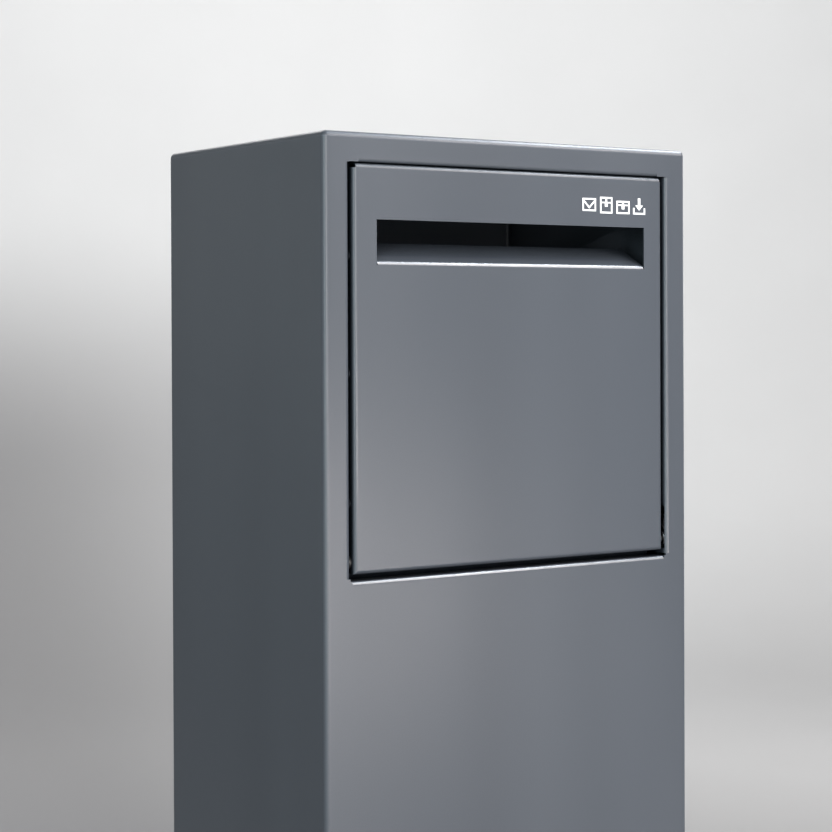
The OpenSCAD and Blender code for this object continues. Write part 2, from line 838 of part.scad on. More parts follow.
// Top-hat section down the middle of the door
module door_stiffener() {
    depth = 9;
    crown = 30;
    foot = 15;
    color(coat) translate([0, door_face_y - flap_sheet, door_z + 12]) linear_extrude(door_h - 24) {
        for (side = [0, 1]) mirror([side, 0]) {
            translate([crown / 2, -flap_sheet]) square([foot, flap_sheet]);
            translate([crown / 2, -depth]) square([flap_sheet, depth - flap_sheet]);
        }
        translate([-crown / 2 - flap_sheet, -depth - flap_sheet])
            square([crown + 2 * flap_sheet, flap_sheet]);
    }
}

block = [15.5, 9.5, 26];

module pivot_block() {
    color(zinc) difference() {
        translate([-door_w / 2 + door_bend, door_face_y - flap_sheet - block[1], 0]) cube(block);
        translate([door_pivot[0], door_pivot[1], -cut])
            cylinder(h = block[2] + 2 * cut, r = pin_r + rivet_gap);
    }
}

module pivot_block_upper() {
    translate([0, 0, door_top - door_bend - block[2]]) pivot_block();
}

module pivot_block_lower() {
    translate([0, 0, door_z + door_bend]) pivot_block();
}

module pivot_pin(z0, z1) {
    tip = 0.5;
    color(zinc) translate([door_pivot[0], door_pivot[1], z0]) rotate_extrude() polygon([
        [0, 0], [pin_r - tip, 0], [pin_r, tip], [pin_r, z1 - z0 - tip], [pin_r - tip, z1 - z0], [0, z1 - z0]
    ]);
}

module pivot_pin_upper() {
    pivot_pin(door_top - 31, bracket_high_z + bracket_t);
}

module pivot_pin_lower() {
    pivot_pin(bracket_low_z - bracket_t, door_z + 31);
}

// ---- Cam lock ----

module at_lock(y) {
    translate([lock_x, y, lock_z]) rotate([-90, 0, 0]) children();
}

module lock_barrel() {
    tail_y = 118;
    color(zinc) difference() {
        union() {
            at_lock(tail_y) cylinder(h = door_face_y - tail_y, r = barrel_r);
            at_lock(door_face_y) rotate_extrude() polygon([[0, 0], [12, 0], [12, 1.2], [11, 2.2], [0, 2.2]]);
        }
        at_lock(tail_y - cut) cylinder(h = 40, r = plug_r + running_gap);
    }
}

module lock_nut() {
    color(zinc) difference() {
        at_lock(door_face_y - flap_sheet - 5) cylinder(h = 5, r = 14.5, $fn = 6);
        at_lock(door_face_y - flap_sheet - 6) cylinder(h = 8, r = barrel_r + rivet_gap);
    }
}

// Turning plug with a keyhole and a square shank for the cam
module lock_plug() {
    face_y = rear_y - 0.5;
    shank_y = 118;
    color(zinc) difference() {
        union() {
            at_lock(shank_y) cylinder(h = face_y - shank_y, r = plug_r);
            at_lock(cam_y) translate([-shank_w / 2, -shank_w / 2, 0])
                cube([shank_w, shank_w, shank_y - cam_y]);
        }
        at_lock(face_y - 5) translate([-0.8, -4, 0]) cube([1.6, 8, 6]);
        at_lock(cam_y - cut) cylinder(h = 8, r = 2 + rivet_gap);
    }
}

module lock_cam() {
    color(zinc) difference() {
        union() {
            at_lock(cam_y) cylinder(h = cam_t, r = cam_w / 2);
            at_lock(cam_y) translate([-cam_w / 2, 0, 0]) cube([cam_w, cam_l - cam_w / 2, cam_t]);
            at_lock(cam_y) translate([0, cam_l - cam_w / 2, 0]) cylinder(h = cam_t, r = cam_w / 2);
        }
        at_lock(cam_y - cut) translate([-shank_w / 2 - 0.05, -shank_w / 2 - 0.05, 0])
            cube([shank_w + 0.1, shank_w + 0.1, cam_t + 2 * cut]);
    }
}

module cam_screw() {
    head_t = 2.5;
    color(zinc) difference() {
        union() {
            at_lock(cam_y - head_t) cylinder(h = head_t, r = 6);
            at_lock(cam_y) cylinder(h = 6, r = 2);
        }
        for (a = [0, 90]) at_lock(cam_y - head_t - cut)
            rotate(a) translate([-3, -0.5, 0]) cube([6, 1, 1 + cut]);
    }
}

body_shell();
rear_post_left();
rear_post_right();
roof_panel();
base_plate();
rear_panel();
floor_mat();
door_jamb_hinge_side();
door_jamb_lock_side();
door_buffers();
door_bracket_upper();
door_bracket_lower();
door_pivot_washer();
hinge_bracket_left();
hinge_bracket_right();
hinge_pin_left();
hinge_pin_right();
return_spring_left();
return_spring_right();
bumper_bracket_left();
bumper_bracket_right();
flap_bumpers();
chute_baffle();
baffle_rivets();
flap_panel();
cheek_left();
cheek_right();
chute_tray();
hinge_bush_left();
hinge_bush_right();
cheek_rivets();
tray_rivets();
stop_pads();
parcel_symbols();
door_panel();
door_stiffener();
pivot_block_upper();
pivot_block_lower();
pivot_pin_upper();
pivot_pin_lower();
lock_barrel();
lock_nut();
lock_plug();
lock_cam();
cam_screw();
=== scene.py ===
"""Looks, camera and studio for a free-standing parcel drop box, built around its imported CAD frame."""

import json
import math

import bmesh
import bpy
from mathutils import Matrix, Vector


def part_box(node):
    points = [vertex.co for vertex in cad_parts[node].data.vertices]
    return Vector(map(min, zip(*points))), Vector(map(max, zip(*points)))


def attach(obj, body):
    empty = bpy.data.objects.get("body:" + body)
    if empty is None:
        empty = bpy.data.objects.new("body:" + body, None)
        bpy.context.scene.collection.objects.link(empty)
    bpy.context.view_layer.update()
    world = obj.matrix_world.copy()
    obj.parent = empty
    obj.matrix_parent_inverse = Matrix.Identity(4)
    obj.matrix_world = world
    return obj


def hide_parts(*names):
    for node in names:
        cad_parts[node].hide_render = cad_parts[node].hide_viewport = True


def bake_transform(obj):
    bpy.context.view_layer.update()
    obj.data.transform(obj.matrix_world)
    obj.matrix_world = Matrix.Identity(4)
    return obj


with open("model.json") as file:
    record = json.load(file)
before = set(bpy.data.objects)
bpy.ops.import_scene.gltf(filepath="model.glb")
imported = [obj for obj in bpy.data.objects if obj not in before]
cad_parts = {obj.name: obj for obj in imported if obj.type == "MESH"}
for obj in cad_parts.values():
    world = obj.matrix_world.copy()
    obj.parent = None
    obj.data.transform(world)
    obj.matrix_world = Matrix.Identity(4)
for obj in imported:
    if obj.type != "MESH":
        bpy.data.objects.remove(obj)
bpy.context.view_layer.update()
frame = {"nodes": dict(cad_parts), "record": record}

MM = 0.001


# ---- Materials ----

FOLD_REACH = (10 * MM, 6 * MM)  # the raised sheen, a painted highlight, starts and is full this far from the fold's height
FOLD_TILT = (0.08, 0.35)        # and at these upward shares of the surface's normal


def tint(colour, gain):
    """Colour made lighter or darker, kept within white."""
    return tuple(min(1, gain * c) for c in colour)


class Graph:
    """A material being wired up, with its Principled shader ready."""

    def __init__(self, name):
        self.material = bpy.data.materials.new(name)
        self.material.use_nodes = True
        self.tree = self.material.node_tree
        self.tree.nodes.clear()
        out = self.add("ShaderNodeOutputMaterial")
        self.shader = self.add("ShaderNodeBsdfPrincipled")
        self.link(self.shader.outputs["BSDF"], out.inputs["Surface"])
        spot = self.add("ShaderNodeTexCoord")
        self.place = spot.outputs["Object"]
        self.facing = spot.outputs["Normal"]

    def add(self, kind, **settings):
        node = self.tree.nodes.new(kind)
        for key, value in settings.items():
            setattr(node, key, value)
        return node

    def link(self, a, b):
        self.tree.links.new(a, b)

    def set(self, **values):
        for key, value in values.items():
            self.shader.inputs[key.replace("_", " ")].default_value = value

    def noise(self, scale, detail=3.0, rough=0.55, stretch=(1, 1, 1)):
        """Noise with about scale cells to the metre; a small stretch makes it long on that axis."""
        mapping = self.add("ShaderNodeMapping")
        mapping.inputs["Scale"].default_value = stretch
        self.link(self.place, mapping.inputs["Vector"])
        node = self.add("ShaderNodeTexNoise")
        node.inputs["Scale"].default_value = scale
        node.inputs["Detail"].default_value = detail
        node.inputs["Roughness"].default_value = rough
        self.link(mapping.outputs["Vector"], node.inputs["Vector"])
        return node.outputs["Fac"]

    def spread(self, value, low, high, out_low, out_high):
        """Straight from out_low at low to out_high at high, level beyond both."""
        node = self.add("ShaderNodeMapRange", clamp=True)
        node.inputs["From Min"].default_value = low
        node.inputs["From Max"].default_value = high
        node.inputs["To Min"].default_value = out_low
        node.inputs["To Max"].default_value = out_high
        self.link(value, node.inputs["Value"])
        return node.outputs["Result"]

    def smooth(self, value, low, high):
        """0 at low easing to 1 at high."""
        node = self.add("ShaderNodeMapRange", clamp=True, interpolation_type="SMOOTHSTEP")
        node.inputs["From Min"].default_value = low
        node.inputs["From Max"].default_value = high
        self.link(value, node.inputs["Value"])
        return node.outputs["Result"]

    def times(self, a, b):
        """Product of two values."""
        node = self.add("ShaderNodeMath", operation="MULTIPLY")
        self.link(a, node.inputs[0])
        self.link(b, node.inputs[1])
        return node.outputs["Value"]

    def mix(self, factor, a, b):
        """Colour a where the factor is 0, b where it is 1."""
        node = self.add("ShaderNodeMix", data_type="RGBA")
        self.link(factor, node.inputs["Factor"])
        colour_a, colour_b = [socket for socket in node.inputs if socket.type == "RGBA"]
        for socket, value in ((colour_a, a), (colour_b, b)):
            if isinstance(value, tuple):
                socket.default_value = (*value, 1)
            else:
                self.link(value, socket)
        return next(socket for socket in node.outputs if socket.type == "RGBA")

    def edges(self, radius, low=0.02, high=0.35):
        """1 on edges sharper than the radius, 0 on flats."""
        bevel = self.add("ShaderNodeBevel", samples=4)
        bevel.inputs["Radius"].default_value = radius
        normal = self.add("ShaderNodeNewGeometry").outputs["Normal"]
        dot = self.add("ShaderNodeVectorMath", operation="DOT_PRODUCT")
        self.link(bevel.outputs["Normal"], dot.inputs[0])
        self.link(normal, dot.inputs[1])
        return self.spread(dot.outputs["Value"], 1 - low, 1 - high, 0, 1)

    def open_air(self, reach, low, high):
        """0 deep in gaps and corners, 1 where nothing stands within reach."""
        node = self.add("ShaderNodeAmbientOcclusion", samples=6)
        node.inputs["Distance"].default_value = reach
        return self.smooth(node.outputs["AO"], low, high)

    def upward(self, low, high):
        """0 on faces that look sideways or down, 1 on faces that look up."""
        facing = self.add("ShaderNodeSeparateXYZ")
        self.link(self.facing, facing.inputs["Vector"])
        return self.smooth(facing.outputs["Z"], low, high)

    def upward_fold(self, height):
        """1 on surfaces that face upwards close to the height, 0 elsewhere."""
        where = self.add("ShaderNodeSeparateXYZ")
        self.link(self.place, where.inputs["Vector"])
        off = self.add("ShaderNodeMath", operation="SUBTRACT")
        self.link(where.outputs["Z"], off.inputs[0])
        off.inputs[1].default_value = height
        far = self.add("ShaderNodeMath", operation="ABSOLUTE")
        self.link(off.outputs["Value"], far.inputs[0])
        near = self.smooth(far.outputs["Value"], *FOLD_REACH)
        return self.times(near, self.upward(*FOLD_TILT))

    def bump(self, *layers):
        """Layers of (height, strength, distance in metres), finest last."""
        before = None
        for height, strength, distance in layers:
            node = self.add("ShaderNodeBump")
            node.inputs["Strength"].default_value = strength
            node.inputs["Distance"].default_value = distance
            self.link(height, node.inputs["Height"])
            if before is not None:
                self.link(before, node.inputs["Normal"])
            before = node.outputs["Normal"]
        self.link(before, self.shader.inputs["Normal"])


MIDDLE = (0.3, 0.7)                 # range that most of a noise falls in
# Colour of the painted shade deep in gaps, corners and recesses
RECESS_SHADE = (0.006, 0.0075, 0.010)
RECESS_SHADE_NEAR = (50 * MM, 0.10, 0.70)  # reach of the painted shade, and open air where it is full and where it ends
RECESS_SHADE_SLOT = (150 * MM, 0.22, 0.67)
RECESS_SHADE_INSIDE = (200 * MM, 0.20, 0.85)
SHINE = (0.06, 0.5)                 # specular level in the painted shade of gaps and corners, and on open coat
TOP_TILT = (0.2, 0.7)               # upward share of the normal where a top starts to dull and is dull
TOP_SHINE = 0.45
# Specular level added on the fold at the lip's height: painted highlight
FOLD_SHEEN = 0.7
EVEN = (0.2, 0.8)                   # range of a noise that is eased from 0 to 1
FEW = (0.25, 0.80)
SPECKS = (0.35, 0.75)
SPECK_STRENGTH = 0.16
TALL = (1, 1, 0.35)
STREAKED = (1, 1, 0.06)


def powder_coat(name, dark, light, rough, lip=None, shade_reach=RECESS_SHADE_NEAR):
    """Semi-gloss powder coat: drifting tone, fine orange peel, edges a shade lighter from rub wear and
    painted highlight.

    Gaps and corners are painted darker and less glossy: painted shade. Upward faces are dull with dust.
    The fold at the lip's height has a raised specular level: a painted highlight.
    """
    g = Graph(name)
    drift = g.noise(scale=2.2, detail=2, rough=0.5)
    grain = g.noise(scale=900, detail=2, rough=0.6)
    tone = g.mix(g.smooth(drift, *EVEN), dark, light)
    streak = g.noise(scale=9, detail=1, rough=0.5, stretch=STREAKED)
    tone = g.mix(g.smooth(streak, *FEW), tone, tint(light, gain=1.16))
    speck = g.mix(g.spread(grain, *SPECKS, 0, SPECK_STRENGTH), tone, tint(light, gain=1.7))
    # Edges lighter: wear and painted highlight
    edge_wear_and_highlight = g.mix(g.edges(radius=0.9 * MM), speck, tint(light, gain=1.9))
    # Painted shade: near black and with little specular where ambient occlusion finds gaps, corners and
    # recesses; upward faces are also less specular
    unshaded = g.open_air(*shade_reach)
    g.link(g.mix(unshaded, RECESS_SHADE, edge_wear_and_highlight), g.shader.inputs["Base Color"])
    shine = g.times(g.spread(unshaded, 0, 1, *SHINE), g.spread(g.upward(*TOP_TILT), 0, 1, 1, TOP_SHINE))
    # Painted highlight: the specular level is raised on the fold at the lip's height to brighten its
    # highlight
    if lip is not None:
        fold_sheen = g.add("ShaderNodeMath", operation="MULTIPLY_ADD")
        g.link(g.upward_fold(lip), fold_sheen.inputs[0])
        fold_sheen.inputs[1].default_value = FOLD_SHEEN
        g.link(shine, fold_sheen.inputs[2])
        shine = fold_sheen.outputs["Value"]
    g.link(shine, g.shader.inputs["Specular IOR Level"])
    cloud = g.smooth(g.noise(scale=5, detail=2, rough=0.5, stretch=TALL), *EVEN)
    g.link(g.spread(cloud, 0, 1, rough - 0.04, rough + 0.05), g.shader.inputs["Roughness"])
    g.set(Metallic=0.0, IOR=1.5)
    peel = g.noise(scale=260, detail=2, rough=0.5)
    g.bump((peel, 0.10, 0.10 * MM), (grain, 0.06, 0.05 * MM))
    return g.material


def plated(name, dark, light, rough):
    """Plated or bare steel: cloudy tone, fine grain, edges brighter from wear and painted highlight,
    painted shade where it sits deep.
    """
    g = Graph(name)
    cloud = g.noise(scale=60, detail=4, rough=0.6)
    grain = g.noise(scale=500, detail=3, rough=0.6)
    tone = g.mix(g.spread(cloud, *MIDDLE, 0, 1), dark, light)
    # Edges lighter: wear and painted highlight
    edge_wear_and_highlight = g.mix(g.edges(radius=0.5 * MM), tone, tint(light, gain=1.25))
    # Painted shade: darker deep in gaps and recesses that ambient occlusion finds
    unshaded = g.open_air(reach=15 * MM, low=0.05, high=0.45)
    g.link(g.mix(unshaded, tint(dark, gain=0.15), edge_wear_and_highlight), g.shader.inputs["Base Color"])
    g.link(g.spread(grain, *MIDDLE, rough - 0.06, rough + 0.1), g.shader.inputs["Roughness"])
    g.set(Metallic=1.0)
    g.bump((grain, 0.12, 0.03 * MM))
    return g.material


def rubber(name, dark, light, rough, depth):
    """Moulded rubber: tone clouded with dust, pebbled surface of the given depth."""
    g = Graph(name)
    dust = g.noise(scale=35, detail=5, rough=0.65)
    grain = g.noise(scale=700, detail=3, rough=0.6)
    tone = g.mix(g.spread(dust, *SPECKS, 0, 1), dark, light)
    # Edges lighter: wear and painted highlight
    edge_wear_and_highlight = g.mix(g.edges(radius=0.6 * MM), tone, tint(light, gain=1.8))
    g.link(edge_wear_and_highlight, g.shader.inputs["Base Color"])
    g.link(g.spread(grain, *MIDDLE, rough - 0.08, rough + 0.08), g.shader.inputs["Roughness"])
    g.bump((grain, 0.3, depth))
    return g.material


def plastic(name, dark, light, rough):
    """Moulded plastic or printed film: faint clouding, very fine grain."""
    g = Graph(name)
    cloud = g.noise(scale=90, detail=3, rough=0.6)
    grain = g.noise(scale=1200, detail=2, rough=0.5)
    tone = g.mix(g.spread(cloud, *MIDDLE, 0, 1), dark, light)
    # Edges lighter: wear and painted highlight
    edge_wear_and_highlight = g.mix(g.edges(radius=0.4 * MM), tone, tint(light, gain=1.1))
    g.link(edge_wear_and_highlight, g.shader.inputs["Base Color"])
    g.link(g.spread(grain, *MIDDLE, rough - 0.05, rough + 0.07), g.shader.inputs["Roughness"])
    g.bump((grain, 0.08, 0.03 * MM))
    return g.material


BODY_LIP = 718 * MM    # fold below the flap
FLAP_LIP = 987 * MM    # lower edge of the slot
# Dark and light tone of each
COAT = ((0.041, 0.048, 0.059), (0.047, 0.054, 0.065))
INNER = ((0.040, 0.047, 0.057), (0.046, 0.053, 0.063))
ZINC = ((0.50, 0.51, 0.52), (0.66, 0.67, 0.67))
SPRING = ((0.34, 0.34, 0.35), (0.46, 0.46, 0.47))
NICKEL = ((0.60, 0.58, 0.55), (0.72, 0.70, 0.66))
RUBBER = ((0.012, 0.012, 0.013), (0.022, 0.022, 0.023))
MAT = ((0.014, 0.014, 0.015), (0.030, 0.030, 0.030))
NYLON = ((0.014, 0.014, 0.015), (0.022, 0.022, 0.023))
VINYL = ((0.86, 0.86, 0.86), (0.92, 0.92, 0.92))

MATERIALS = {
    "body_coat": powder_coat("body_coat", *COAT, rough=0.34, lip=BODY_LIP),
    "flap_coat": powder_coat("flap_coat", *COAT, rough=0.33, lip=FLAP_LIP, shade_reach=RECESS_SHADE_SLOT),
    "inner_coat": powder_coat("inner_coat", *INNER, rough=0.42, shade_reach=RECESS_SHADE_INSIDE),
    "zinc_steel": plated("zinc_steel", *ZINC, rough=0.34),
    "spring_steel": plated("spring_steel", *SPRING, rough=0.28),
    "lock_nickel": plated("lock_nickel", *NICKEL, rough=0.20),
    "black_rubber": rubber("black_rubber", *RUBBER, rough=0.72, depth=0.05 * MM),
    "mat_rubber": rubber("mat_rubber", *MAT, rough=0.80, depth=0.10 * MM),
    "black_nylon": plastic("black_nylon", *NYLON, rough=0.42),
    "white_vinyl": plastic("white_vinyl", *VINYL, rough=0.40),
}


# ---- CAD nodes: materials and softened edges ----

# mm; at 0 the sharp edges are split instead of rounded
USUAL_RADIUS = 0.2
EDGE_RADIUS = {
    "body_shell": 0.0, "rear_post_left": 0.0, "rear_post_right": 0.0, "roof_panel": 0.0,
    "flap_panel": 0.35, "door_panel": 0.35, "base_plate": 0.30,
    "parcel_symbols": 0.0, "return_spring_left": 0.0, "return_spring_right": 0.0,
}
SHARP_ANGLE = math.radians(35)
FLAT_ANGLE = math.radians(0.6)
WELD_GAP = 0.01 * MM
BEVEL_STEPS = 2
FACE_WEIGHT = 100


def soften(obj, width):
    """Welds the split mesh, merges flat facets and rounds or splits sharp edges, all as modifiers."""
    mesh = obj.data
    for name in ("custom_normal", "sharp_edge"):
        if name in mesh.attributes:
            mesh.attributes.remove(mesh.attributes[name])
    mesh.polygons.foreach_set("use_smooth", [True] * len(mesh.polygons))
    weld = obj.modifiers.new("weld", "WELD")
    weld.merge_threshold = WELD_GAP
    flat = obj.modifiers.new("merge_flat", "DECIMATE")
    flat.decimate_type = "DISSOLVE"
    flat.angle_limit = FLAT_ANGLE
    if width > 0:
        bevel = obj.modifiers.new("edge_round", "BEVEL")
        bevel.width = width
        bevel.segments = BEVEL_STEPS
        bevel.limit_method = "ANGLE"
        bevel.angle_limit = SHARP_ANGLE
        bevel.miter_outer = "MITER_ARC"
    else:
        split = obj.modifiers.new("sharp_edges", "EDGE_SPLIT")
        split.split_angle = SHARP_ANGLE
    normal = obj.modifiers.new("even_normals", "WEIGHTED_NORMAL")
    normal.keep_sharp = False
    normal.weight = FACE_WEIGHT


slot_of = {s["node"]: s["material_slot"] for s in frame["record"]["subparts"]}
for node_name, node in frame["nodes"].items():
    node.data.materials.clear()
    node.data.materials.append(MATERIALS[slot_of[node_name]])
    soften(node, EDGE_RADIUS.get(node_name, USUAL_RADIUS) * MM)


# ---- Return springs ----

# mm. PIVOT is from the origin and each _X from the middle; HOOK and REST are (y, z) from the pivot.
PIVOT = Vector((0, -130, 735.4))
WIRE_R = 1.0
WIRE_SIDES = 14
END_DOME = 0.4     # length of the domed wire end, as a share of the wire's radius
END_SHARE = 0.55   # radius at the tip, as a share of the wire's
COIL_R = 6.3
COIL_PITCH = 2.15
COIL_TURNS = 5
COIL_STEPS = 36    # points to a turn
COIL_X = 185.8
SIDE_X = 197.0
CHEEK_X = 165.5
HOOK = (22.0, 16.0)
REST = (COIL_R, 17.0)
ELBOW = 1.6        # radius of the two bends


def sweep(name, path, radius):
    """Round wire along a path, with domed ends. The ring is carried along without twisting."""
    end = len(path) - 1
    ahead = [(path[min(i + 1, end)] - path[max(i - 1, 0)]).normalized() for i in range(end + 1)]
    side = ahead[0].orthogonal().normalized()
    stations = [(path[0] - ahead[0] * radius * END_DOME, 0, END_SHARE)]
    stations += [(p, i, 1.0) for i, p in enumerate(path)]
    stations += [(path[-1] + ahead[-1] * radius * END_DOME, end, END_SHARE)]
    bm = bmesh.new()
    rings = []
    for place, i, share in stations:
        side = (side - ahead[i] * side.dot(ahead[i])).normalized()
        over = ahead[i].cross(side)
        ring = []
        for k in range(WIRE_SIDES):
            t = 2 * math.pi * k / WIRE_SIDES
            outwards = math.cos(t) * side + math.sin(t) * over
            ring.append(bm.verts.new(MM * (place + radius * share * outwards)))
        rings.append(ring)
    for low, high in zip(rings, rings[1:]):
        for k in range(WIRE_SIDES):
            n = (k + 1) % WIRE_SIDES
            bm.faces.new((low[k], low[n], high[n], high[k]))
    bm.faces.new(reversed(rings[0]))
    bm.faces.new(rings[-1])
    for f in bm.faces:
        f.smooth = True
    mesh = bpy.data.meshes.new(name)
    bm.to_mesh(mesh)
    bm.free()
    obj = bpy.data.objects.new(name, mesh)
    bpy.context.scene.collection.objects.link(obj)
    return obj


def elbow(before, corner, after, radius, steps=6):
    """Points of a rounded corner."""
    a = corner + (before - corner).normalized() * radius
    b = corner + (after - corner).normalized() * radius
    points = []
    for k in range(steps + 1):
        t = k / steps
        points.append((1 - t) ** 2 * a + 2 * t * (1 - t) * corner + t * t * b)
    return points


def spring(side):
    """Torsion spring round the hinge pin: fixed leg in the bracket, moving leg hooked in the cheek."""
    reach = math.hypot(*HOOK)
    turn = 2 * math.pi * COIL_TURNS - math.atan2(HOOK[1], HOOK[0]) - math.acos(COIL_R / reach)
    steps = COIL_TURNS * COIL_STEPS
    coil = []
    for k in range(steps + 1):
        a = turn * k / steps
        x = COIL_X - COIL_PITCH * a / (2 * math.pi)
        coil.append(Vector((x, COIL_R * math.cos(a), -COIL_R * math.sin(a))))
    rest = Vector((COIL_X, *REST))
    hook = Vector((coil[-1].x, *HOOK))
    path = [Vector((SIDE_X, *REST))]
    path += elbow(path[0], rest, coil[0], ELBOW)
    path += coil
    path += elbow(coil[-1], hook, Vector((CHEEK_X, *HOOK)), ELBOW)
    path += [Vector((CHEEK_X, *HOOK))]
    flip = Vector((side, 1, 1))
    word = "right" if side > 0 else "left"
    obj = sweep(f"spring_wire_{word}", [PIVOT + p * flip for p in path], WIRE_R)
    obj.data.materials.append(MATERIALS["spring_steel"])
    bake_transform(obj)
    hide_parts(f"return_spring_{word}")


spring(1)
spring(-1)


# ---- Ribs on the floor mat ----

# mm, apart from the two that say share
RIB_PITCH = 8.0
RIB_W = 4.0
RIB_H = 1.2
RIB_RUN_OUT = 1.2    # length of the slope at each end of a rib
RIB_END = 0.3        # height at the very end, as a share
RIB_CLEAR = 2.5      # kept free round every hole
MAT_EDGE = 5.0
ANCHOR = (140, 90)
ANCHOR_HOLE_R = 16
DRAIN_X = 60
DRAIN_HOLE_R = 6
# (across, up) in shares of a rib's width and height; the feet are sunk in the mat
RIB_SECTION = [(-0.5, -0.4), (-0.42, 0.55), (-0.28, 0.92), (0, 1), (0.28, 0.92), (0.42, 0.55), (0.5, -0.4)]
MAT_HOLES = [(x * ANCHOR[0], y * ANCHOR[1], ANCHOR_HOLE_R + RIB_CLEAR) for x in (-1, 1) for y in (-1, 1)]
MAT_HOLES += [(x * DRAIN_X, 0, DRAIN_HOLE_R + RIB_CLEAR) for x in (-1, 1)]


def clear_runs(x, y0, y1):
    """Parts of the line at x between y0 and y1 that miss every hole."""
    cuts = []
    for hole_x, hole_y, r in MAT_HOLES:
        if abs(x - hole_x) < r:
            half = math.sqrt(r * r - (x - hole_x) ** 2)
            cuts.append((hole_y - half, hole_y + half))
    runs, start = [], y0
    for low, high in sorted(cuts):
        runs.append((start, low))
        start = high
    runs.append((start, y1))
    return [(a, b) for a, b in runs if b - a > 2 * RIB_W]


def mat_ribs():
    """Low rounded ribs along the mat, broken at its holes."""
    low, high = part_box("floor_mat")
    top = high.z / MM
    count = int((high.x - low.x - 2 * MAT_EDGE * MM) / (RIB_PITCH * MM))
    bm = bmesh.new()
    for k in range(count + 1):
        x = (k - count / 2) * RIB_PITCH
        for y0, y1 in clear_runs(x, low.y / MM + MAT_EDGE, high.y / MM - MAT_EDGE):
            rings = []
            for y, share in ((y0, RIB_END), (y0 + RIB_RUN_OUT, 1), (y1 - RIB_RUN_OUT, 1), (y1, RIB_END)):
                ring = []
                for u, v in RIB_SECTION:
                    z = top + RIB_H * (v if v < 0 else v * share)
                    ring.append(bm.verts.new((MM * (x + RIB_W * u), MM * y, MM * z)))
                rings.append(ring)
            for a, b in zip(rings, rings[1:]):
                for i in range(len(RIB_SECTION) - 1):
                    bm.faces.new((a[i], b[i], b[i + 1], a[i + 1]))
            bm.faces.new(rings[0])
            bm.faces.new(reversed(rings[-1]))
    bmesh.ops.recalc_face_normals(bm, faces=bm.faces)
    for f in bm.faces:
        f.smooth = True
    mesh = bpy.data.meshes.new("mat_ribs")
    bm.to_mesh(mesh)
    bm.free()
    obj = bpy.data.objects.new("mat_ribs", mesh)
    bpy.context.scene.collection.objects.link(obj)
    mesh.materials.append(MATERIALS["mat_rubber"])
    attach(obj, "box")


mat_ribs()


# ---- Camera ----

LENS = 88.98         # mm
SENSOR = 36          # mm
SHIFT_Y = -0.0813    # share of the picture's width
FAR_CLIP = 60        # metres
STANDPOINT = (-1.0962, -1.6073, 0.9323)
YAW = 33.982         # degrees, like the next two
PITCH = -0.518
ROLL = -0.217


def aim(obj, place, yaw, pitch, roll):
    """Turns obj so its view runs at yaw right of +Y and pitch above level."""
    yaw, pitch, roll = map(math.radians, (yaw, pitch, roll))
    ahead = Vector((math.sin(yaw) * math.cos(pitch), math.cos(yaw) * math.cos(pitch), math.sin(pitch)))
    right = Vector((math.cos(yaw), -math.sin(yaw), 0))
    up = right.cross(ahead)
    side = math.cos(roll) * right + math.sin(roll) * up
    over = -math.sin(roll) * right + math.cos(roll) * up
    turn = Matrix((side, over, -ahead)).transposed().to_4x4()
    obj.matrix_world = Matrix.Translation(place) @ turn


camera = bpy.data.objects.new("camera", bpy.data.cameras.new("camera"))
bpy.context.scene.collection.objects.link(camera)
camera.data.lens = LENS
camera.data.sensor_width = SENSOR
camera.data.shift_y = SHIFT_Y
camera.data.clip_end = FAR_CLIP
aim(camera, STANDPOINT, YAW, PITCH, ROLL)
bpy.context.scene.camera = camera


# ---- Studio ----

# Where each painted shade on the backdrop starts and where it is full, in metres unless it says otherwise
SHADE_LEFT = (0.70, 0.28)     # bearing from +Y, radians
SHADE_FAR = (-1.3, -0.5)      # bearing
SHADE_LOW = (1.40, 0.45)      # height
SHADE_FLOOR = (0.4, -0.6)     # height
SHADE_NEAR = (2.8, 0.5)       # distance from the origin; painted shadow round the box
SHADE_FRONT = (-0.9, -2.8)    # y; painted shade on the floor in front
FLOOR_ONLY = (0.30, 0.0)      # height
PAPER_DARK = (0.80, 0.80, 0.80)
PAPER_LIGHT = (0.83, 0.83, 0.83)
# Colours of the painted shade: low on the left wall, on the floor, round the box and on the floor in front
LOW_TONE = (0.36, 0.355, 0.36)
FLOOR_TONE = (0.34, 0.335, 0.34)
NEAR_TONE = (0.12, 0.12, 0.122)
FRONT_TONE = (0.14, 0.14, 0.141)
PAPER_ROUGH = 0.9
FLOOR_R = 3.4
SWEEP_R = 2.4
WALL_Z = 7.0
BACKDROP_SIDES = 128
SWEEP_STEPS = 16


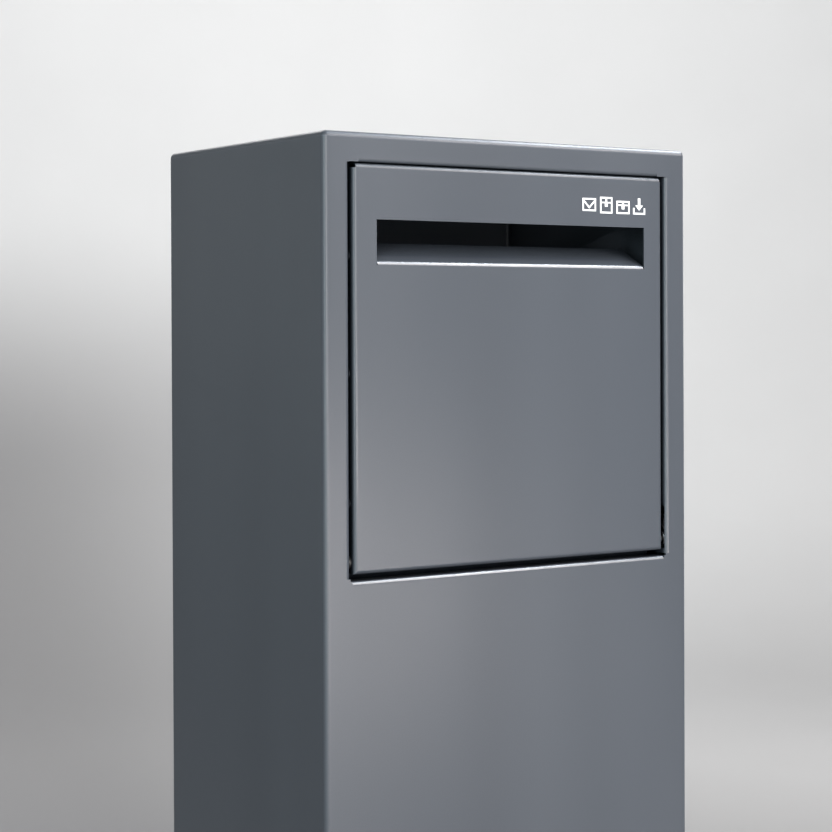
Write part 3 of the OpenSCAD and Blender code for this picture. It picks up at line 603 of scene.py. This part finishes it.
def backdrop():
    """Pale floor that sweeps up into a round wall, with painted shade low on the left, on the floor, round
    the box and on the floor in front.
    """
    profile = [(FLOOR_R * 0.5, 0.0), (FLOOR_R, 0.0)]
    for i in range(1, SWEEP_STEPS + 1):
        a = math.radians(90 * i / SWEEP_STEPS)
        profile.append((FLOOR_R + SWEEP_R * math.sin(a), SWEEP_R * (1 - math.cos(a))))
    profile.append((FLOOR_R + SWEEP_R, WALL_Z))
    bm = bmesh.new()
    rings = []
    for r, z in profile:
        ring = []
        for k in range(BACKDROP_SIDES):
            t = 2 * math.pi * k / BACKDROP_SIDES
            ring.append(bm.verts.new((r * math.cos(t), r * math.sin(t), z)))
        rings.append(ring)
    bm.faces.new(rings[0])
    for low, high in zip(rings, rings[1:]):
        for k in range(BACKDROP_SIDES):
            n = (k + 1) % BACKDROP_SIDES
            bm.faces.new((low[k], high[k], high[n], low[n]))
    for f in bm.faces:
        f.smooth = True
    mesh = bpy.data.meshes.new("backdrop")
    bm.to_mesh(mesh)
    bm.free()
    obj = bpy.data.objects.new("backdrop", mesh)
    bpy.context.scene.collection.objects.link(obj)
    g = Graph("backdrop_paper")
    where = g.add("ShaderNodeSeparateXYZ")
    g.link(g.place, where.inputs["Vector"])
    bearing = g.add("ShaderNodeMath", operation="ARCTAN2")
    g.link(where.outputs["X"], bearing.inputs[0])
    g.link(where.outputs["Y"], bearing.inputs[1])
    # Painted shade: darker low on the left wall, on the floor, round the box and on the floor in front
    low = g.smooth(where.outputs["Z"], *SHADE_LOW)
    turned = bearing.outputs["Value"]
    left = g.times(g.smooth(turned, *SHADE_LEFT), g.smooth(turned, *SHADE_FAR))
    paper = g.mix(g.spread(g.noise(scale=1.5, detail=2), *MIDDLE, 0, 1), PAPER_DARK, PAPER_LIGHT)
    tone = g.mix(g.times(left, low), paper, LOW_TONE)
    tone = g.mix(g.smooth(where.outputs["Z"], *SHADE_FLOOR), tone, FLOOR_TONE)
    reach = g.add("ShaderNodeVectorMath", operation="LENGTH")
    g.link(g.place, reach.inputs[0])
    tone = g.mix(g.smooth(reach.outputs["Value"], *SHADE_NEAR), tone, NEAR_TONE)
    front = g.times(g.smooth(where.outputs["Y"], *SHADE_FRONT), g.smooth(where.outputs["Z"], *FLOOR_ONLY))
    tone = g.mix(front, tone, FRONT_TONE)
    g.link(tone, g.shader.inputs["Base Color"])
    g.set(Roughness=PAPER_ROUGH)
    g.bump((g.noise(scale=300), 0.05, 0.1 * MM))
    mesh.materials.append(g.material)


def softbox(name, place, target, size, power, beam, colour):
    """Rectangular area light that faces the target."""
    light = bpy.data.lights.new(name, "AREA")
    light.shape = "RECTANGLE"
    light.size, light.size_y = size
    light.energy = power
    light.spread = math.radians(beam)
    light.color = colour
    obj = bpy.data.objects.new(name, light)
    bpy.context.scene.collection.objects.link(obj)
    obj.location = place
    obj.rotation_mode = "QUATERNION"
    obj.rotation_quaternion = (Vector(place) - Vector(target)).to_track_quat("Z", "Y")


WHITE = (1.0, 1.0, 1.0)
COOL = (0.92, 0.97, 1.04)
WARM = (1.06, 0.99, 0.97)
SLATE = (0.84, 1.0, 1.03)
LIGHTS = {
    # name: (place, target, size, power, beam angle in degrees, colour)
    "top_edge": ((1.5, -0.35, 2.8), (0.1, -0.14, 1.0), (2.2, 0.45), 19, 70, COOL),
    "top_soft": ((0.2, 0.8, 3.3), (0, 0.2, 0.9), (2.0, 1.4), 12, 120, WHITE),
    "lip_light": ((1.45, -1.85, 2.15), (0, -0.14, 0.95), (0.9, 0.7), 32, 180, WARM),
    "front_low": ((0.9, -3.0, 0.35), (0, -0.14, 0.80), (1.4, 0.30), 35, 180, WARM),
    "front_near": ((0.3, -3.0, 2.3), (0, -0.14, 0.9), (1.2, 1.0), 16, 180, WHITE),
    "camera_side": ((-0.9, -3.2, 1.2), (0, -0.14, 0.9), (0.4, 2.4), 74, 180, WHITE),
    "left_front": ((-2.6, -2.0, 1.3), (-0.2, -0.14, 0.9), (0.45, 2.2), 44, 180, SLATE),
    "side_streak": ((-2.1, 2.7, 1.2), (-0.2, 0.0, 0.9), (0.25, 2.0), 1.6, 180, SLATE),
    "rear_fill": ((0.5, 2.6, 3.2), (0, 0.14, 0.5), (1.6, 1.2), 34, 180, WHITE),
    "right_fill": ((3.6, 0.9, 1.8), (0.2, 0.0, 0.7), (2.2, 2.0), 16, 110, WHITE),
    "wall_top": ((1.2, 2.5, 4.4), (2.8, 4.8, 1.8), (3.0, 0.8), 45, 120, WHITE),
}

SKY = (0.96, 0.98, 1.0, 1)
SKY_POWER = 0.10

backdrop()
for light_name, values in LIGHTS.items():
    softbox(light_name, *values)

bpy.context.scene.view_settings.view_transform = "Standard"
world = bpy.data.worlds.new("studio")
bpy.context.scene.world = world
world.use_nodes = True
sky = world.node_tree.nodes["Background"]
sky.inputs["Color"].default_value = SKY
sky.inputs["Strength"].default_value = SKY_POWER
